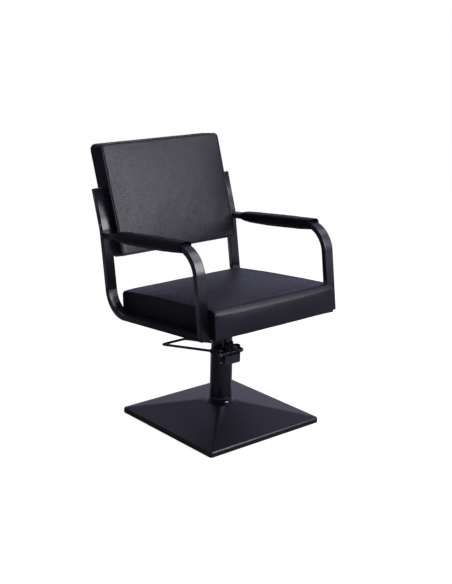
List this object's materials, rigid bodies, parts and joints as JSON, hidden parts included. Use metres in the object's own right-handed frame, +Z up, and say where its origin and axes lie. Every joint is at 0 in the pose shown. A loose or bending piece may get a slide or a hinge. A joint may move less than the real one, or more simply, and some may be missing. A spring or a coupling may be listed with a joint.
{
  "type": "hairdressing chair",
  "caption": "Hydraulic hairdressing chair with a square sloped base, foot-pedal pump column, bent flat-tube arm frames, padded arms and a boxed seat and back.",
  "frame": {"origin": "centre of the base's underside, on the column's axis, at floor level", "axes": "+Z up along the column, -Y the way the sitter faces, +X to the sitter's left, towards the leg side without the release valve"},
  "size_m": [0.6472, 0.7327, 0.9991],
  "materials": {
    "frame_coat": "satin black powder coat",
    "base_coat": "satin black enamel",
    "gloss_coat": "glossy black enamel",
    "block_coat": "semi-gloss black paint on cast iron",
    "lever_coat": "glossy black paint",
    "leather": "fine-grained black upholstery",
    "plywood": "bare plywood",
    "steel": "bare steel",
    "zinc": "bright zinc plating",
    "chromed": "hard chrome",
    "bronze": "sintered bronze",
    "rubber": "moulded rubber",
    "plastic": "black moulded plastic"
  },
  "bodies": {
    "base": {"floor_mat": "rubber", "base_plate": "steel", "base_cover": "base_coat", "column_collar": "gloss_coat", "pump_flange": "steel", "flange_bolts": "zinc", "pump_cylinder": "gloss_coat", "column_sleeve": "gloss_coat", "cylinder_head": "gloss_coat", "guide_bush": "bronze", "wiper_seal": "rubber", "pump_block": "block_coat", "shaft_bushes": "bronze", "release_valve": "lever_coat", "valve_nut": "zinc"},
    "ram": {"ram": "chromed", "piston": "steel", "piston_seal": "rubber", "thrust_washer": "bronze"},
    "pedal": {"lever_toe": "lever_coat", "pedal_shaft": "steel", "pedal_socket_left": "lever_coat", "pedal_socket_right": "lever_coat", "pedal_rod": "lever_coat", "shaft_nuts": "zinc", "socket_screws": "zinc"},
    "plunger": {"plunger": "zinc", "plunger_spring": "zinc"},
    "seat": {"seat_hub": "frame_coat", "hub_screws": "zinc", "hub_plate": "frame_coat", "plate_bolts": "zinc", "cross_bar_front": "frame_coat", "cross_bar_rear": "frame_coat", "seat_rail_left": "frame_coat", "seat_rail_right": "frame_coat", "rear_post_left": "frame_coat", "rear_post_right": "frame_coat", "arm_tube_left": "frame_coat", "arm_tube_right": "frame_coat", "post_caps": "plastic", "seat_board": "plywood", "board_screws": "zinc", "seat_cushion": "leather", "back_board": "plywood", "back_cushion": "leather", "back_panel": "leather", "back_spacers": "frame_coat", "back_screws": "zinc", "arm_pad_left": "leather", "arm_pad_right": "leather"}
  },
  "joints": [
    {"name": "lift", "type": "slide", "parent": "base", "child": "ram", "axis": [0, 0, 1], "range_m": [0, 0.15]},
    {"name": "swivel", "type": "hinge", "parent": "ram", "child": "seat", "pos_m": [0, 0, 0.37], "axis": [0, 0, 1], "continuous": true},
    {"name": "pedal", "type": "hinge", "parent": "base", "child": "pedal", "pos_m": [0, -0.056, 0.274], "axis": [1, 0, 0], "range_deg": [-25, 8], "stiffness_Nm_per_rad": 20, "springref_deg": 2.86},
    {"name": "pump_stroke", "type": "slide", "parent": "base", "child": "plunger", "axis": [0, 0, 1], "range_m": [-0.0056, 0.0018], "deforming": ["plunger_spring"]}
  ],
  "couplings": [
    {"joint": "pump_stroke", "follows": "pedal", "m_per_rad": 0.0122}
  ]
}
